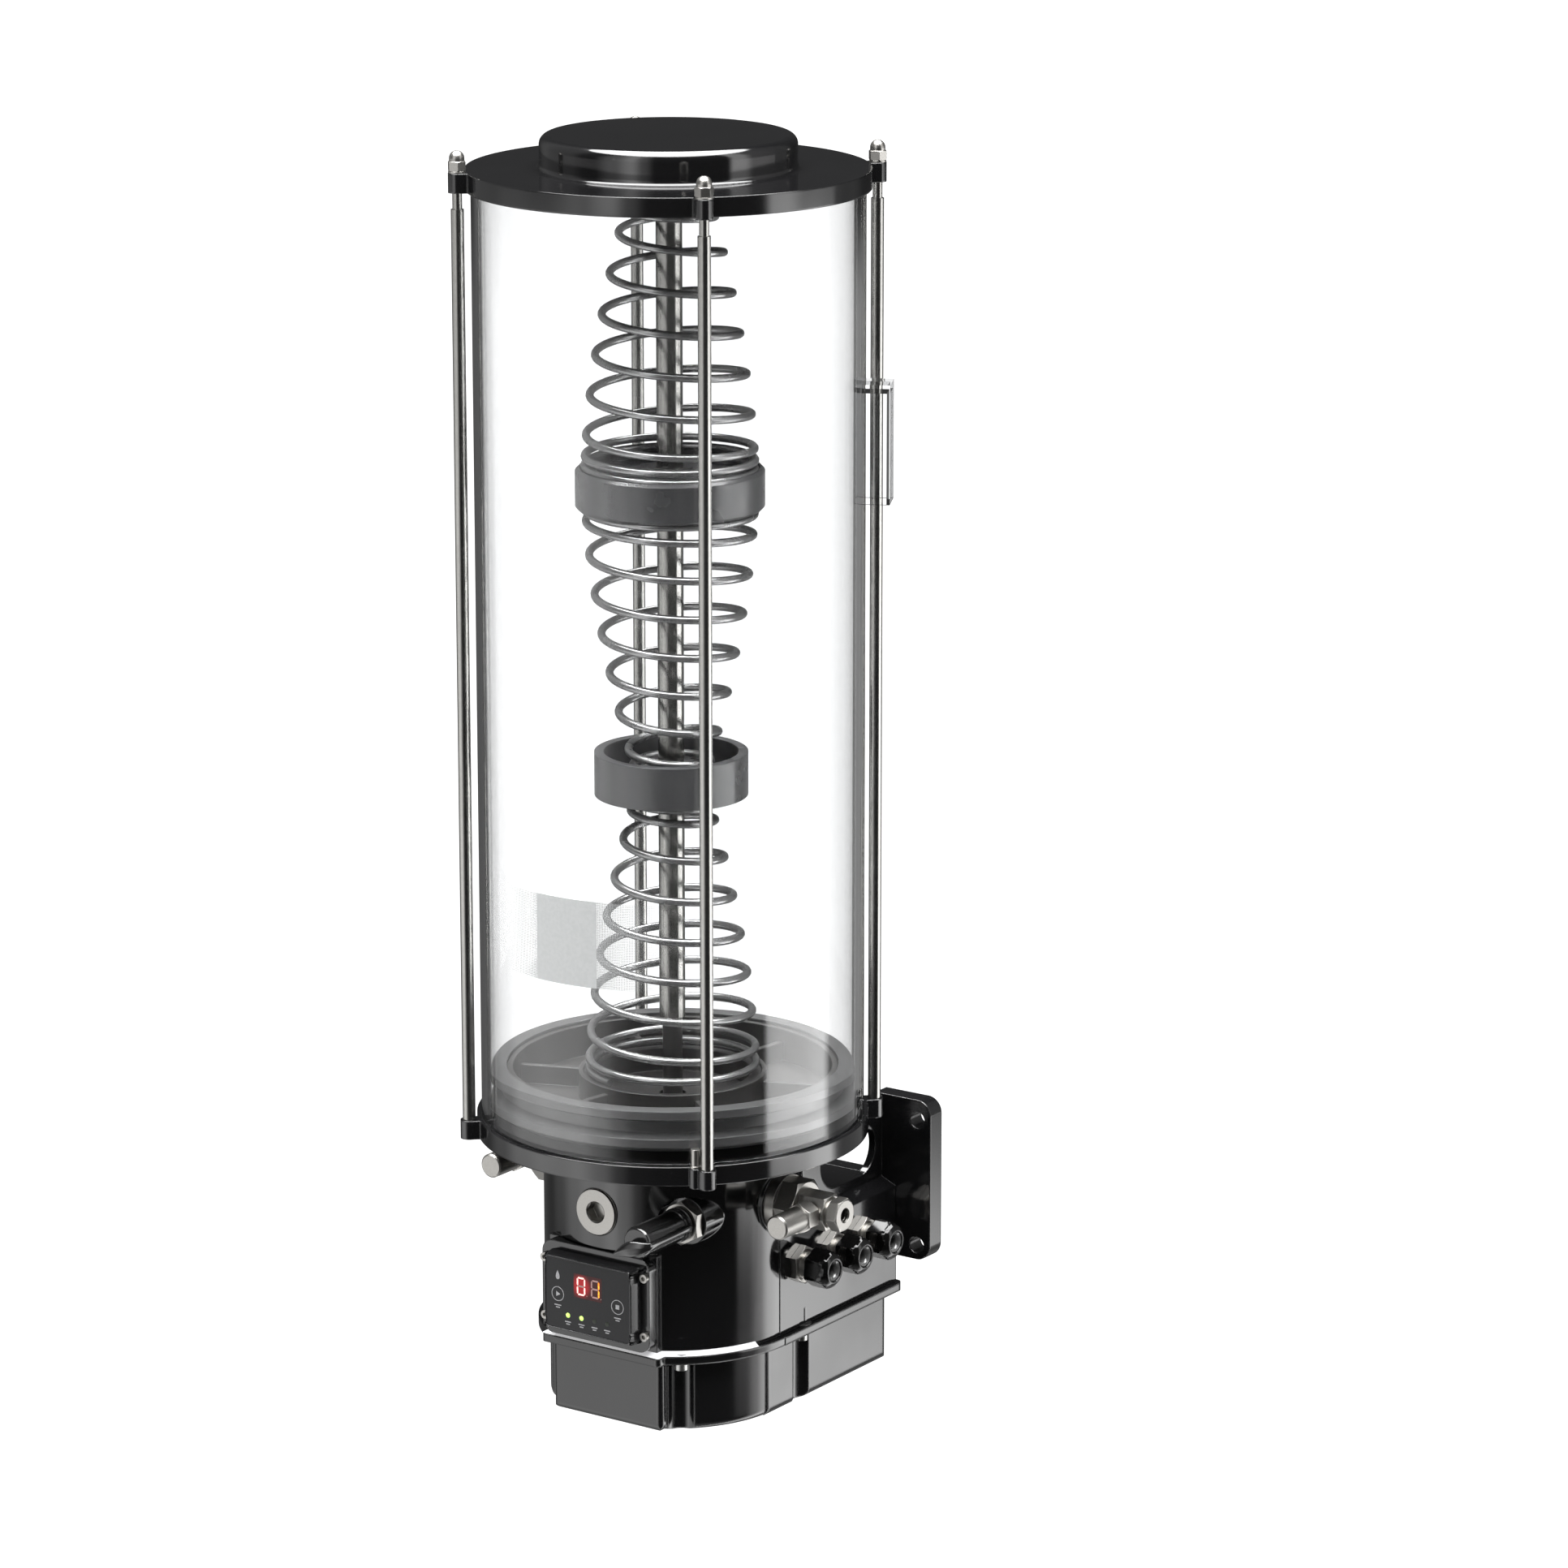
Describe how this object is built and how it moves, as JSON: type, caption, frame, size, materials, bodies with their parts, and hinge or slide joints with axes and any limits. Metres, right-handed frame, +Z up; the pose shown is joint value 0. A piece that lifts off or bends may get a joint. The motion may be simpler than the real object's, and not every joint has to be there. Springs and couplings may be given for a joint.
{
  "type": "automatic grease pump",
  "caption": "Electric grease pump: clear reservoir with a spring-loaded follower on a cast wall-mounted housing with display, outlets, filler and cable glands.",
  "frame": {"origin": "on the reservoir's axis at the underside of the bottom cover", "axes": "+Z up along the reservoir, -Y towards the display, +X towards the cable glands, wall plate at +Y"},
  "size_m": [0.262, 0.2665, 0.802],
  "materials": {
    "cast_black": "black semi-gloss coating on cast aluminium",
    "clear_acrylic": "clear acrylic",
    "polished_steel": "drawn, bright",
    "spring_steel": "bright spring wire",
    "dark_steel": "dark grey coating",
    "nickel": "nickel plated",
    "machined_steel": "machined",
    "black_rubber": "matt black",
    "black_plastic": "moulded, satin",
    "display_foil": "printed foil, semi-gloss",
    "red_digits": "red segments behind the foil",
    "green_leds": "light-emitting diodes",
    "circuit_board": "green solder mask",
    "motor_paint": "grey paint"
  },
  "bodies": {
    "pump": {"lid": "cast_black", "lid_seal": "black_rubber", "reservoir_tube": "clear_acrylic", "tube_seal": "black_rubber", "tie_rods": "polished_steel", "cap_nuts": "nickel", "cap_washers": "nickel", "guide_tube": "polished_steel", "guide_pin": "dark_steel", "guide_spider": "cast_black", "spring_upper": "spring_steel", "vent_cover": "clear_acrylic", "bleed_screw": "nickel", "base_flange": "cast_black", "flange_screws": "nickel", "pump_housing": "cast_black", "wall_bracket": "cast_black", "bottom_cover": "cast_black", "cover_gasket": "black_rubber", "cover_screws": "nickel", "display_frame": "cast_black", "display_case": "black_plastic", "display_film": "display_foil", "digit_display": "red_digits", "indicator_leds": "green_leds", "display_screws": "nickel", "control_board": "circuit_board", "power_board": "circuit_board", "board_screws": "nickel", "gearbox": "machined_steel", "motor": "motor_paint", "motor_screws": "nickel", "shaft_bearing": "nickel", "shaft_seal": "black_rubber", "sealing_plug": "nickel", "plug_washer": "black_rubber", "fill_coupling": "nickel", "pump_element_right": "nickel", "pump_element_left": "nickel", "plunger_right": "polished_steel", "plunger_left": "polished_steel", "relief_valve_right": "nickel", "relief_valve_left": "nickel", "outlet_nut_right": "nickel", "outlet_nut_left": "nickel", "gland_bodies": "nickel", "gland_nuts": "black_plastic", "gland_seals": "black_rubber"},
    "follower": {"follower_plate": "dark_steel", "follower_seal": "black_rubber"},
    "small_cup": {"spring_cup_small": "dark_steel", "spring_lower": "spring_steel"},
    "large_cup": {"spring_cup_large": "dark_steel", "spring_middle": "spring_steel"},
    "shaft": {"drive_shaft": "polished_steel", "eccentric": "machined_steel", "eccentric_ring": "nickel", "stirrer": "machined_steel"},
    "dust_cap": {"fill_cap": "black_rubber", "cap_strap": "black_rubber"}
  },
  "joints": [
    {"name": "follower_slide", "type": "slide", "parent": "pump", "child": "follower", "axis": [0, 0, 1], "range_m": [0, 0.36], "stiffness_N_per_m": 600, "springref_m": -0.35, "deforming": ["spring_lower"]},
    {"name": "small_cup_slide", "type": "slide", "parent": "pump", "child": "small_cup", "axis": [0, 0, 1], "range_m": [0, 0.24], "deforming": ["spring_middle"]},
    {"name": "large_cup_slide", "type": "slide", "parent": "pump", "child": "large_cup", "axis": [0, 0, 1], "range_m": [0, 0.12], "deforming": ["spring_upper"]},
    {"name": "shaft_spin", "type": "hinge", "parent": "pump", "child": "shaft", "pos_m": [0, 0, 0.14], "axis": [0, 0, 1], "continuous": true},
    {"name": "dust_cap_pull", "type": "slide", "parent": "pump", "child": "dust_cap", "axis": [0, -1, 0], "range_m": [0, 0.03]}
  ],
  "couplings": [
    {"joint": "small_cup_slide", "follows": "follower_slide", "ratio": 0.66666},
    {"joint": "large_cup_slide", "follows": "follower_slide", "ratio": 0.33333}
  ]
}
